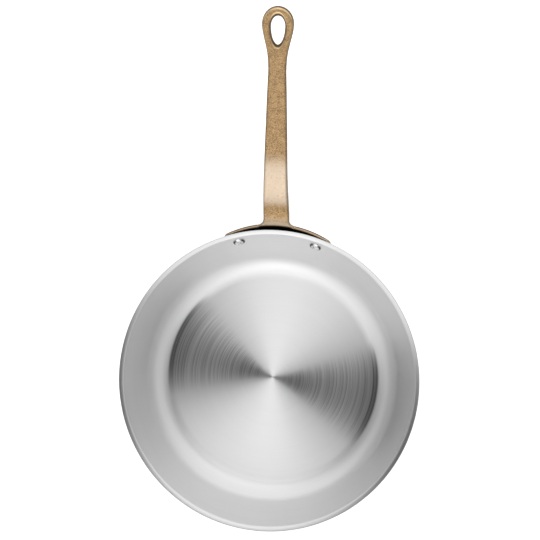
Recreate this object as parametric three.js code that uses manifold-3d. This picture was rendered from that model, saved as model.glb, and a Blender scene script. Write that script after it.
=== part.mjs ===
// Skillet: a clad steel pan with a long cast bronze handle held by two rivets.
// Lengths are millimetres and slopes are degrees from the horizontal. The origin is the middle of the
// underside, +Z is up, and the handle runs out along +Y.
import * as THREE from "three";
import { mergeVertices } from "three/addons/utils/BufferGeometryUtils.js";
import Module from "manifold-3d";

const wasm = await Module();
wasm.setup();

// Pan sheet
const RIM_DIAMETER = 280; // over the outer edge of the lip
const FLOOR_DIAMETER = 185; // flat part of the cooking face
const CORNER_RADIUS = 32.5; // between floor and wall, on the cooking face
const WALL_SLOPE = 60;
const LIP_SLOPE = 18;
const LIP_BEND_RADIUS = 0.5; // under the lip, on the outer skin
const LIP_LENGTH = 2.4; // straight part of the lip, on the outer skin

// Thickness of each bonded ply
const INNER_STEEL = 0.4;
const UPPER_ALUMINIUM = 0.5;
const CENTRE_ALUMINIUM = 0.8;
const LOWER_ALUMINIUM = 0.5;
const OUTER_STEEL = 0.4;
const BOND_LINE = 0.02; // between one ply and the next

// Rivets
const RIVET_SPACING = 71.4; // between the two, across the handle
const RIVET_DROP = 6.3; // down the wall from the bend of the lip
const SHANK_DIAMETER = 6;
const HEAD_DIAMETER = 11.4;
const HEAD_HEIGHT = 2.4;
const TAIL_DIAMETER = 10;
const TAIL_HEIGHT = 1.8;
const FIT_CLEARANCE = 0.3; // between pieces that are turned or cut to fit each other

// Bracket of the handle, a bowed plate that stands off the wall on two bosses
const RIM_GAP = 2.9; // from the lip to the plate, on the centre line
const BRACKET_BOW = 98; // radius of the plate's top edge, seen from above
const BRACKET_SLOPE = 50;
const BRACKET_THICKNESS = 3.4;
const BRACKET_EDGE = 1.2; // rounding of the top edge
const BRACKET_DROP = 2.4; // top edge below the rim
const BRACKET_END_RADIUS = 10.5; // of the two round ends
const BRACKET_END_DROP = 2.5; // middle of a round end below its rivet
const BRACKET_END_REACH = 2.8; // middle of a round end beyond its rivet
const BRACKET_BELLY = 4; // how far the lower edge dips under the stem
const BOSS_DIAMETER = 14;
const BOSS_PROUD = 2; // of a boss beyond the plate

// Stem of the handle
const ROOT_SLOPE = 3;
const ROOT_THICKNESS = 18; // down the bracket's face
const ROOT_WIDTH = 24;
const ROOT_FILLET = 4.5; // between stem and bracket
const ROOT_FADE = 3; // power with which the root's extra thickness dies away
const ROOT_TURN = 26; // length over which the section turns from the bracket's face to square on
const ROOT_EMBED = 6; // length of stem that the bracket's inner face trims off
const BEND_RUN = 64; // of the S-bend, from the bracket outwards
const BEND_RISE = 28.3;
const ROOT_PULL = 18; // how long the S-bend holds the slope of the root
const STEM_PULL = 52; // how long it holds the slope of the stem
const STEM_SLOPE = 17;
const STEM_LENGTH = 135.4; // from the S-bend to the tip
const STEM_THICKNESS = 7;
const STEM_EDGE = 3; // rounding along the stem
const TAPER_EASE = 0.85; // power of the taper from neck to root, below 1 for a swelling one
const NECK_WIDTH = 16.2;
const NECK_DISTANCE = 61; // from the tip
const FLARE_BIAS = 1.43; // power that draws the flare towards the loop
const LOOP_WIDTH = 28.1;
const LOOP_END = 15.6; // from the widest point to the tip
const EYE_WIDTH = 12.7; // half-way through the loop, where the eye is narrowest
const EYE_LENGTH = 26;
const EYE_ROUND = 9; // from the eye's outer end to its widest point
const EYE_SIDE_PULL = 11.8; // how long its sides run on from there
const EYE_POINT_PULL = 1.8; // bluntness of its small end, towards the pan
const EYE_INSET = 8.9; // from the tip
const EYE_FLARE = 1.6; // how far its walls lean out to each face of the loop

// Fineness of the facets
const PAN_SIDES = 48;
const CORNER_STEPS = 5;
const LIP_STEPS = 2;
const BRACKET_SIDES = 60;
const OUTLINE_STEPS = 7;
const RIVET_SIDES = 20;
const DOME_STEPS = 4;
const EDGE_STEPS = 3;
const FILLET_STEPS = 4;
const BEND_STEPS = 9;
const TAPER_STEPS = 4;
const FLARE_STEPS = 7;
const LOOP_STEPS = 7;
const EYE_STEPS = 7;
const WELD = 1e-4; // vertices nearer than this are one

// Values that follow from the sizes above
const PLIES = [INNER_STEEL, UPPER_ALUMINIUM, CENTRE_ALUMINIUM, LOWER_ALUMINIUM, OUTER_STEEL];
const SHEET = PLIES.reduce((sum, thickness) => sum + thickness) + (PLIES.length - 1) * BOND_LINE;
const RIM_RADIUS = RIM_DIAMETER / 2;
const FLOOR_RADIUS = FLOOR_DIAMETER / 2;
const WALL_ANGLE = THREE.MathUtils.degToRad(WALL_SLOPE);
const LIP_ANGLE = THREE.MathUtils.degToRad(LIP_SLOPE);
const LIP_INNER_RADIUS = LIP_BEND_RADIUS + SHEET;
const BRACKET_ANGLE = THREE.MathUtils.degToRad(BRACKET_SLOPE);
const STEM_ANGLE = THREE.MathUtils.degToRad(STEM_SLOPE);
const ROOT_ANGLE = THREE.MathUtils.degToRad(ROOT_SLOPE);
const FACET_SHARE = Math.cos(Math.PI / PAN_SIDES); // radius at the middle of a facet, against its corners

// Point at a distance from a centre, along the direction that an angle gives
function polar(centre, radius, angle) {
  return new THREE.Vector2(centre.x + radius * Math.cos(angle), centre.y + radius * Math.sin(angle));
}

// Evenly spaced numbers from one value to another, both ends included
function spread(from, to, steps) {
  return Array.from({ length: steps + 1 }, (_, i) => THREE.MathUtils.lerp(from, to, i / steps));
}

// The sheet's section: a flat floor, a corner arc, a straight wall and a turned-out lip
const cornerCentre = new THREE.Vector2(FLOOR_RADIUS, SHEET + CORNER_RADIUS);
const wallStart = polar(cornerCentre, CORNER_RADIUS, WALL_ANGLE - Math.PI / 2);
const lipCentreRadius =
  RIM_RADIUS + LIP_BEND_RADIUS * Math.sin(LIP_ANGLE) - LIP_LENGTH * Math.cos(LIP_ANGLE);
const wallEndRadius = lipCentreRadius - LIP_INNER_RADIUS * Math.sin(WALL_ANGLE);
const wallEnd = new THREE.Vector2(
  wallEndRadius,
  wallStart.y + (wallEndRadius - wallStart.x) * Math.tan(WALL_ANGLE),
);
const lipCentre = polar(wallEnd, LIP_INNER_RADIUS, WALL_ANGLE - Math.PI / 2);

// End of the lip on the line at a depth below the cooking face, trimmed upright at a radius
function lipEdge(depth, radius) {
  const start = polar(lipCentre, LIP_INNER_RADIUS - depth, LIP_ANGLE + Math.PI / 2);
  return new THREE.Vector2(radius, start.y + (radius - start.x) * Math.tan(LIP_ANGLE));
}
const RIM_HEIGHT = lipEdge(0, RIM_RADIUS).y;

// The line through the sheet at a depth below the cooking face, from the axis to the lip's edge
function sheetLine(depth, overhang = 0) {
  const corner = spread(-Math.PI / 2, WALL_ANGLE - Math.PI / 2, CORNER_STEPS).map((angle) =>
    polar(cornerCentre, CORNER_RADIUS + depth, angle),
  );
  const bend = spread(WALL_ANGLE + Math.PI / 2, LIP_ANGLE + Math.PI / 2, LIP_STEPS).map((angle) =>
    polar(lipCentre, LIP_INNER_RADIUS - depth, angle),
  );
  return [new THREE.Vector2(0, SHEET - depth), ...corner, ...bend, lipEdge(depth, RIM_RADIUS + overhang)];
}

// Revolved body about the Z axis, from a profile of radius and height that runs upwards on its outside
function revolve(profile, sides) {
  return new THREE.LatheGeometry(profile, sides).rotateX(Math.PI / 2);
}

// Closed skin through rings of points, all with the same count, each ring anticlockwise seen from the last
function loft(rings) {
  const count = rings[0].length;
  const last = (rings.length - 1) * count;
  const index = [];
  for (let ring = 0; ring < last; ring += count) {
    for (let i = 0; i < count; i += 1) {
      const next = (i + 1) % count;
      index.push(ring + i, ring + next, ring + count + next);
      index.push(ring + i, ring + count + next, ring + count + i);
    }
  }
  for (let i = 1; i < count - 1; i += 1) {
    index.push(0, i + 1, i);
    index.push(last, last + i, last + i + 1);
  }
  return new THREE.BufferGeometry().setFromPoints(rings.flat()).setIndex(index);
}

// A closed geometry as a solid that can be joined and cut
function solidOf(geometry) {
  const bare = geometry.clone();
  bare.deleteAttribute("normal");
  bare.deleteAttribute("uv");
  const welded = mergeVertices(bare, WELD);
  return new wasm.Manifold(
    new wasm.Mesh({
      numProp: 3,
      vertProperties: welded.attributes.position.array,
      triVerts: new Uint32Array(welded.index.array),
    }),
  );
}

// A solid back as a geometry
function geometryOf(solid) {
  const { vertProperties, triVerts } = solid.getMesh();
  const geometry = new THREE.BufferGeometry();
  geometry.setAttribute("position", new THREE.BufferAttribute(vertProperties, 3));
  geometry.setIndex(new THREE.BufferAttribute(triVerts, 1));
  geometry.computeVertexNormals();
  return geometry;
}

// Where a rivet stands: its origin is on the cooking face and its +Y runs out square to the wall
function rivetFrame(side) {
  const seat = polar(wallEnd, RIVET_DROP, WALL_ANGLE + Math.PI);
  seat.x *= FACET_SHARE;
  const turn = Math.asin((side * RIVET_SPACING) / 2 / seat.x);
  const outward = new THREE.Vector3(
    Math.sin(WALL_ANGLE) * Math.sin(turn),
    Math.sin(WALL_ANGLE) * Math.cos(turn),
    -Math.cos(WALL_ANGLE),
  );
  const frame = new THREE.Object3D();
  frame.position.set(seat.x * Math.sin(turn), seat.x * Math.cos(turn), seat.y);
  frame.quaternion.setFromUnitVectors(new THREE.Vector3(0, 1, 0), outward);
  frame.updateMatrix();
  return frame;
}

// A cylinder along a rivet's axis, between two distances from the cooking face
function alongRivet(side, diameter, from, to) {
  const cylinder = new THREE.CylinderGeometry(diameter / 2, diameter / 2, to - from, RIVET_SIDES);
  cylinder.translate(0, (from + to) / 2, 0);
  return solidOf(cylinder.applyMatrix4(rivetFrame(side).matrix));
}

// The bracket's cone: its inner top edge, the axis it bows about and the slope of its faces
const bracketTop = new THREE.Vector2(RIM_RADIUS + RIM_GAP, RIM_HEIGHT - BRACKET_DROP);
const bracketAxis = bracketTop.x - BRACKET_BOW;
const plateOffset = BRACKET_THICKNESS / Math.sin(BRACKET_ANGLE);

// Distance along a rivet's axis from the cooking face to the plate's outer face
function plateDistance(side) {
  const frame = rivetFrame(side);
  const ray = new THREE.Vector3(0, 1, 0).applyQuaternion(frame.quaternion);
  const start = frame.position.clone().sub(new THREE.Vector3(0, bracketAxis, 0));
  const growth = 1 / Math.tan(BRACKET_ANGLE);
  const reach = BRACKET_BOW + plateOffset + (start.z - bracketTop.y) * growth;
  const climb = ray.z * growth;
  const a = ray.x ** 2 + ray.y ** 2 - climb ** 2;
  const b = start.x * ray.x + start.y * ray.y - reach * climb;
  const c = start.x ** 2 + start.y ** 2 - reach ** 2;
  return (Math.sqrt(b ** 2 - a * c) - b) / a;
}
const bossEnd = plateDistance(1) + BOSS_PROUD;

// Solid cone under the plate's inner face, which keeps the gap behind the bracket open
function gapCone() {
  const top = RIM_HEIGHT + ROOT_THICKNESS;
  const growth = 1 / Math.tan(BRACKET_ANGLE);
  const profile = [
    new THREE.Vector2(0, 0),
    new THREE.Vector2(BRACKET_BOW - bracketTop.y * growth, 0),
    new THREE.Vector2(BRACKET_BOW + (top - bracketTop.y) * growth, top),
    new THREE.Vector2(0, top),
  ];
  return solidOf(revolve(profile, BRACKET_SIDES).translate(0, bracketAxis, 0));
}

// Corners of the plate's section at its top, and the middles of their rounding
const plateInner = new THREE.Vector2(BRACKET_BOW, bracketTop.y);
const plateOuter = polar(plateInner, BRACKET_THICKNESS, BRACKET_ANGLE - Math.PI / 2);
const downPlate = BRACKET_ANGLE + Math.PI;
const innerRound = polar(
  polar(plateInner, BRACKET_EDGE, downPlate),
  BRACKET_EDGE,
  BRACKET_ANGLE - Math.PI / 2,
);
const outerRound = polar(
  polar(plateOuter, BRACKET_EDGE, downPlate),
  BRACKET_EDGE,
  BRACKET_ANGLE + Math.PI / 2,
);
const plateTop = innerRound.y + BRACKET_EDGE;
const plateWidth = plateOuter.x - plateInner.x;

// Ring of the plate, a sloping band with a rounded top edge, all the way round its axis
function plateRing() {
  const depth = bracketTop.y / Math.sin(BRACKET_ANGLE);
  const outerAngles = spread(BRACKET_ANGLE - Math.PI / 2, BRACKET_ANGLE, EDGE_STEPS);
  const innerAngles = spread(BRACKET_ANGLE, BRACKET_ANGLE + Math.PI / 2, EDGE_STEPS);
  const profile = [
    polar(plateInner, depth, downPlate),
    polar(plateOuter, depth, downPlate),
    ...outerAngles.map((angle) => polar(outerRound, BRACKET_EDGE, angle)),
    ...innerAngles.map((angle) => polar(innerRound, BRACKET_EDGE, angle)),
  ];
  profile.push(profile[0].clone());
  return solidOf(revolve(profile, BRACKET_SIDES).translate(0, bracketAxis, 0));
}

// Front outline of the bracket, pushed back along Y: round ends about the rivets and a belly under the stem
function bracketOutline() {
  const centre = new THREE.Vector3(0, (SHEET + bossEnd) / 2, 0).applyMatrix4(rivetFrame(1).matrix);
  centre.x += BRACKET_END_REACH;
  centre.z -= BRACKET_END_DROP;
  const low = centre.z - BRACKET_END_RADIUS;
  const shape = new THREE.Shape();
  shape.moveTo(-centre.x, centre.z + BRACKET_END_RADIUS);
  shape.absarc(-centre.x, centre.z, BRACKET_END_RADIUS, Math.PI / 2, (3 * Math.PI) / 2, false);
  shape.bezierCurveTo(-centre.x / 2, low, -centre.x / 2, low - BRACKET_BELLY, 0, low - BRACKET_BELLY);
  shape.bezierCurveTo(centre.x / 2, low - BRACKET_BELLY, centre.x / 2, low, centre.x, low);
  shape.absarc(centre.x, centre.z, BRACKET_END_RADIUS, -Math.PI / 2, Math.PI / 2, false);
  const prism = new THREE.ExtrudeGeometry(shape, {
    depth: RIM_DIAMETER,
    bevelEnabled: false,
    curveSegments: OUTLINE_STEPS,
  });
  return solidOf(prism.rotateX(Math.PI / 2).translate(0, RIM_DIAMETER, 0));
}

// Top line of the stem in the YZ plane: an S-bend out of the bracket, then straight to the tip
const rootStart = new THREE.Vector3(0, bracketTop.x, plateTop);
const bendEnd = new THREE.Vector3(0, bracketTop.x + BEND_RUN, plateTop + BEND_RISE);
const rootDirection = new THREE.Vector3(0, Math.cos(ROOT_ANGLE), Math.sin(ROOT_ANGLE));
const stemDirection = new THREE.Vector3(0, Math.cos(STEM_ANGLE), Math.sin(STEM_ANGLE));
const bend = new THREE.CubicBezierCurve3(
  rootStart,
  rootStart.clone().addScaledVector(rootDirection, ROOT_PULL),
  bendEnd.clone().addScaledVector(stemDirection, -STEM_PULL),
  bendEnd,
);
const tip = bendEnd.clone().addScaledVector(stemDirection, STEM_LENGTH);

// Half width of the stem at a distance from the tip, before the loop's round end
function halfWidth(distance, length) {
  if (distance > NECK_DISTANCE) {
    const share = (distance - NECK_DISTANCE) / (length - NECK_DISTANCE);
    return THREE.MathUtils.lerp(NECK_WIDTH, ROOT_WIDTH, share ** TAPER_EASE) / 2;
  }
  const share = (distance - LOOP_END) / (NECK_DISTANCE - LOOP_END);
  const ease = (1 - Math.cos(Math.PI * (1 - (1 - share) ** FLARE_BIAS))) / 2;
  return THREE.MathUtils.lerp(LOOP_WIDTH, NECK_WIDTH, ease) / 2;
}

// How much the root's fillet swells the stem, at a distance out from the bracket's inner face
function rootSwell(along) {
  const left = THREE.MathUtils.clamp(plateWidth + ROOT_FILLET - along, 0, ROOT_FILLET);
  return ROOT_FILLET - Math.sqrt(ROOT_FILLET ** 2 - left ** 2);
}

// How far the stem's section has turned from the bracket's face to square on, from 0 to 1
function turnAt(along) {
  return THREE.MathUtils.smoothstep(along, plateWidth, plateWidth + ROOT_TURN);
}

// Direction in which the section hangs: down the bracket's face at the root, then square to the stem
function hangAt(along, direction) {
  const square = Math.atan2(direction.z, direction.y) + (3 * Math.PI) / 2;
  const angle = THREE.MathUtils.lerp(downPlate, square, turnAt(along));
  return new THREE.Vector3(0, Math.cos(angle), Math.sin(angle));
}

// A point of the section moved back with the bow of the bracket, as far as the section still follows it
function bowed(point, along) {
  const back = BRACKET_BOW - Math.sqrt(BRACKET_BOW ** 2 - point.x ** 2);
  point.y -= back * (1 - turnAt(along));
  return point;
}

// Rounded rectangle hung in a direction below a point of the stem's top line
function stemRing(top, hang, width, thickness) {
  const edge = Math.min(STEM_EDGE, width, thickness / 2);
  const ring = [];
  for (const quarter of [0, 1, 2, 3]) {
    const across = (width - edge) * (quarter === 0 || quarter === 3 ? 1 : -1);
    const below = quarter < 2 ? edge : thickness - edge;
    for (const angle of spread((quarter * Math.PI) / 2, ((quarter + 1) * Math.PI) / 2, EDGE_STEPS)) {
      const point = top.clone();
      point.x += across + edge * Math.cos(angle);
      point.addScaledVector(hang, below - edge * Math.sin(angle));
      ring.unshift(point);
    }
  }
  return ring;
}

// Rings of the root and the S-bend, which thin from the bracket to the stem
function bendRings(bendLength, length) {
  const fillet = spread(0, Math.PI / 2, FILLET_STEPS).map(
    (angle) => plateWidth + ROOT_FILLET * (1 - Math.cos(angle)),
  );
  const rest = spread(fillet.at(-1), bendLength, BEND_STEPS).slice(1);
  return [0, ...fillet, ...rest].map((along) => {
    const share = along / bendLength;
    const thickness = THREE.MathUtils.lerp(STEM_THICKNESS, ROOT_THICKNESS, (1 - share) ** ROOT_FADE);
    const width = halfWidth(length - along, length);
    const swell = rootSwell(along);
    const hang = hangAt(along, bend.getTangentAt(share));
    const ring = stemRing(bend.getPointAt(share), hang, width + swell, thickness + swell);
    return ring.map((point) => bowed(point, along));
  });
}

// The stem as one skin: root, S-bend, taper to the neck, flare to the loop and its round end
function stemSolid() {
  const bendLength = bend.getLength();
  const rings = bendRings(bendLength, bendLength + STEM_LENGTH);
  const back = rootDirection.clone().multiplyScalar(-ROOT_EMBED);
  rings.unshift(rings[0].map((point) => point.clone().add(back)));
  const hang = hangAt(bendLength, stemDirection);
  const straight = [
    ...spread(STEM_LENGTH, NECK_DISTANCE, TAPER_STEPS).slice(1),
    ...spread(NECK_DISTANCE, LOOP_END, FLARE_STEPS).slice(1),
  ];
  for (const distance of straight) {
    const top = tip.clone().addScaledVector(stemDirection, -distance);
    const width = halfWidth(distance, bendLength + STEM_LENGTH);
    rings.push(stemRing(top, hang, width, STEM_THICKNESS));
  }
  for (const angle of spread(0, Math.PI / 2, LOOP_STEPS).slice(1, -1)) {
    const top = tip.clone().addScaledVector(stemDirection, LOOP_END * (Math.sin(angle) - 1));
    rings.push(stemRing(top, hang, (LOOP_WIDTH / 2) * Math.cos(angle), STEM_THICKNESS));
  }
  return solidOf(loft(rings));
}

// Egg outline of the hanging eye, grown by an offset, in the loop's plane with +Y towards the tip
function eyeOutline(offset) {
  const wide = EYE_WIDTH / 2 + offset;
  const middle = -EYE_INSET - EYE_ROUND;
  const straight = middle - EYE_SIDE_PULL;
  const point = -EYE_INSET - EYE_LENGTH - offset;
  const blunt = EYE_POINT_PULL + offset;
  const shape = new THREE.Shape();
  shape.absellipse(0, middle, wide, EYE_ROUND + offset, 0, Math.PI, false);
  shape.bezierCurveTo(-wide, straight, -blunt, point, 0, point);
  shape.bezierCurveTo(blunt, point, wide, straight, wide, middle);
  return shape.getPoints(EYE_STEPS).slice(0, -1);
}

// Cutter of the eye, narrowest half-way through the loop and leaning out past both its faces
function eyeSolid() {
  const half = STEM_THICKNESS / 2;
  const levels = [
    { height: -3 * half, offset: 2 * EYE_FLARE },
    { height: -half, offset: 0 },
    { height: half, offset: 2 * EYE_FLARE },
  ];
  const rings = levels.map(({ height, offset }) =>
    eyeOutline(offset).map((point) => new THREE.Vector3(point.x, point.y, height)),
  );
  const normal = new THREE.Vector3(1, 0, 0).cross(stemDirection);
  const place = new THREE.Matrix4().makeBasis(new THREE.Vector3(1, 0, 0), stemDirection, normal);
  return solidOf(loft(rings).applyMatrix4(place.setPosition(tip)));
}

// The whole pan, filled and grown by the clearance, which the handle is cut back from
function panFill() {
  const outside = sheetLine(SHEET + FIT_CLEARANCE, FIT_CLEARANCE);
  const top = RIM_HEIGHT + ROOT_THICKNESS;
  const profile = [...outside, new THREE.Vector2(outside.at(-1).x, top), new THREE.Vector2(0, top)];
  return solidOf(revolve(profile, PAN_SIDES));
}

// One casting: bracket, bosses and stem, seated on the wall, drilled for the rivets and pierced by the eye
function handleGeometry() {
  let casting = plateRing().intersect(bracketOutline()).add(stemSolid()).subtract(gapCone());
  for (const side of [-1, 1]) {
    casting = casting.add(alongRivet(side, BOSS_DIAMETER, 0, bossEnd));
  }
  casting = casting.subtract(panFill()).subtract(eyeSolid());
  for (const side of [-1, 1]) {
    casting = casting.subtract(rivetHole(side));
  }
  return geometryOf(casting);
}

// Clearance hole for a rivet, right through sheet and boss
function rivetHole(side) {
  const diameter = SHANK_DIAMETER + 2 * FIT_CLEARANCE;
  return alongRivet(side, diameter, -HEAD_HEIGHT, bossEnd + TAIL_HEIGHT);
}

// One ply of the sheet between two depths, with its two rivet holes
function plyGeometry(depth, thickness) {
  const profile = [...sheetLine(depth + thickness), ...sheetLine(depth).reverse()];
  let ply = solidOf(revolve(profile, PAN_SIDES));
  for (const side of [-1, 1]) {
    ply = ply.subtract(rivetHole(side));
  }
  return geometryOf(ply);
}

// Low dome, as the upper part of a rivet's profile, from its rim to the axis
function dome(diameter, height, base) {
  return spread(0, Math.PI / 2, DOME_STEPS).map(
    (angle) => new THREE.Vector2((diameter / 2) * Math.cos(angle), base + height * Math.sin(angle)),
  );
}

// A rivet about its own Y axis: domed head on the cooking face, shank, and formed tail on the boss
function rivetGeometry() {
  const shank = SHANK_DIAMETER / 2;
  const seat = -FIT_CLEARANCE;
  const tailSeat = bossEnd + FIT_CLEARANCE;
  const head = dome(HEAD_DIAMETER, -HEAD_HEIGHT, seat).reverse();
  const tail = dome(TAIL_DIAMETER, TAIL_HEIGHT, tailSeat);
  const profile = [...head, new THREE.Vector2(shank, seat), new THREE.Vector2(shank, tailSeat), ...tail];
  return new THREE.LatheGeometry(profile, RIVET_SIDES);
}

// Finishes
const steel = new THREE.MeshStandardMaterial({ color: 0xd2d3d4, roughness: 0.28, metalness: 1 });
const aluminium = new THREE.MeshStandardMaterial({ color: 0xb9bcc0, roughness: 0.45, metalness: 1 });
const bronze = new THREE.MeshStandardMaterial({ color: 0xb0905f, roughness: 0.5, metalness: 1 });

// A named piece of the skillet
function piece(name, geometry, material) {
  const mesh = new THREE.Mesh(geometry, material);
  mesh.name = name;
  return mesh;
}

const skillet = new THREE.Group();

const pan = new THREE.Group();
const plies = [
  { name: "inner_steel_ply", thickness: INNER_STEEL, material: steel },
  { name: "upper_aluminium_ply", thickness: UPPER_ALUMINIUM, material: aluminium },
  { name: "centre_aluminium_ply", thickness: CENTRE_ALUMINIUM, material: aluminium },
  { name: "lower_aluminium_ply", thickness: LOWER_ALUMINIUM, material: aluminium },
  { name: "outer_steel_ply", thickness: OUTER_STEEL, material: steel },
];
let depth = 0;
for (const { name, thickness, material } of plies) {
  pan.add(piece(name, plyGeometry(depth, thickness), material));
  depth += thickness + BOND_LINE;
}
skillet.add(pan);

skillet.add(piece("handle", handleGeometry(), bronze));

for (const [name, side] of [["rivet_left", -1], ["rivet_right", 1]]) {
  const place = rivetFrame(side);
  place.add(piece(name, rivetGeometry(), steel));
  skillet.add(place);
}

export default skillet;
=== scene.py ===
"""Looks of a clad steel skillet with a long cast bronze handle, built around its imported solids.

Sizes in the classes are millimetres and degrees, and meshes are made in metres. The origin is the middle
of the pan's underside, +Z is up, and the handle runs out along +Y.
"""

import logging
import math
from collections.abc import Sequence
from dataclasses import dataclass
from enum import Enum

import bmesh
import bpy
from mathutils import Matrix, Vector


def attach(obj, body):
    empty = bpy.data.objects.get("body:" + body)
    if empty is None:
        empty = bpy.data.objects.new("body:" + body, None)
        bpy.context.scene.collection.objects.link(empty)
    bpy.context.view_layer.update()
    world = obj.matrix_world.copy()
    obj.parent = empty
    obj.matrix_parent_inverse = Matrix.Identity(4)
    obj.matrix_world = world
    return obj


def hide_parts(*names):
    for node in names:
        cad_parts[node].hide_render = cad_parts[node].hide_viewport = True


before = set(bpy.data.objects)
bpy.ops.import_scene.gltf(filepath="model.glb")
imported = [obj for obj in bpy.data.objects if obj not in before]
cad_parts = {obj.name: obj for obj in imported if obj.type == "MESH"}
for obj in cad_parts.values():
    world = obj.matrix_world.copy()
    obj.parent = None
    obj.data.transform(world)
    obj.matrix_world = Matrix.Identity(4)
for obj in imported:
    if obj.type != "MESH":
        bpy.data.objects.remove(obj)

MM = 0.001
TINY = MM * MM
QUARTER = math.pi / 2
BODY = "root"
CORE_SLOT = "core_aluminium"
IMAGE_WIDTH = 540
SENSOR_WIDTH = 36.0
CROWN_PLACE = "crown_place"
EYE_DEPTH = "eye_depth"
WHITE = (1.0, 1.0, 1.0)
SIDEWAYS = Vector((1.0, 0.0, 0.0))
UPWARD = Vector((0.0, 0.0, 1.0))

Point = tuple[float, float]
Step = tuple[float, float]
Place = tuple[float, float, float]
Colour = tuple[float, float, float]
Socket = bpy.types.NodeSocket
Piece = bpy.types.Object
Station = tuple[float, Vector, Vector]

log = logging.getLogger("skillet")


class Side(Enum):
    """The two rivets, by which side of the handle they stand on."""

    LEFT = -1
    RIGHT = 1

    def named(self, what: str) -> str:
        """Name of what stands on this side."""
        return what + "_" + self.name.lower()


class Cut(Enum):
    """What is kept when one closed mesh meets another."""

    OUTSIDE = "DIFFERENCE"
    INSIDE = "INTERSECT"


class Value:
    """A number that changes over a surface. Python's operators on it add Math nodes."""

    def __init__(self, graph: "Graph", socket: Socket) -> None:
        """Keeps an output socket and the graph that it is in."""
        self.graph = graph
        self.socket = socket

    def __add__(self, other: "Value | float") -> "Value":
        """Sum of the two."""
        return self.graph.math("ADD", self, other)

    def __radd__(self, other: float) -> "Value":
        """Sum of the two."""
        return self.graph.math("ADD", other, self)

    def __sub__(self, other: "Value | float") -> "Value":
        """This less the other."""
        return self.graph.math("SUBTRACT", self, other)

    def __rsub__(self, other: float) -> "Value":
        """The other less this."""
        return self.graph.math("SUBTRACT", other, self)

    def __mul__(self, other: "Value | float") -> "Value":
        """Product of the two."""
        return self.graph.math("MULTIPLY", self, other)

    def __rmul__(self, other: float) -> "Value":
        """Product of the two."""
        return self.graph.math("MULTIPLY", other, self)

    def __truediv__(self, other: "Value | float") -> "Value":
        """This over the other."""
        return self.graph.math("DIVIDE", self, other)

    def __rtruediv__(self, other: float) -> "Value":
        """The other over this."""
        return self.graph.math("DIVIDE", other, self)

    def __pow__(self, other: "Value | float") -> "Value":
        """This to the power of the other."""
        return self.graph.math("POWER", self, other)

    def __rpow__(self, other: float) -> "Value":
        """The other to the power of this."""
        return self.graph.math("POWER", other, self)

    def __abs__(self) -> "Value":
        """Size of this, without its sign."""
        return self.graph.math("ABSOLUTE", self)

    def faded(self, share: "Value", other: "Value | float") -> "Value":
        """This where a share is 0, and another where it is 1."""
        return self + share * (other - self)

    def rise(self, start: float, end: float) -> "Value":
        """A smooth step.

        Args:
            start: Where the step begins to leave 0.
            end: Where it reaches 1. It may be below start, and the step then falls.

        Returns:
            The step, from 0 to 1.
        """
        sockets = {"Value": self, "From Min": start, "From Max": end}
        node = self.graph.node("ShaderNodeMapRange", {"interpolation_type": "SMOOTHSTEP"}, sockets)
        return Value(self.graph, node.outputs["Result"])


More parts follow.
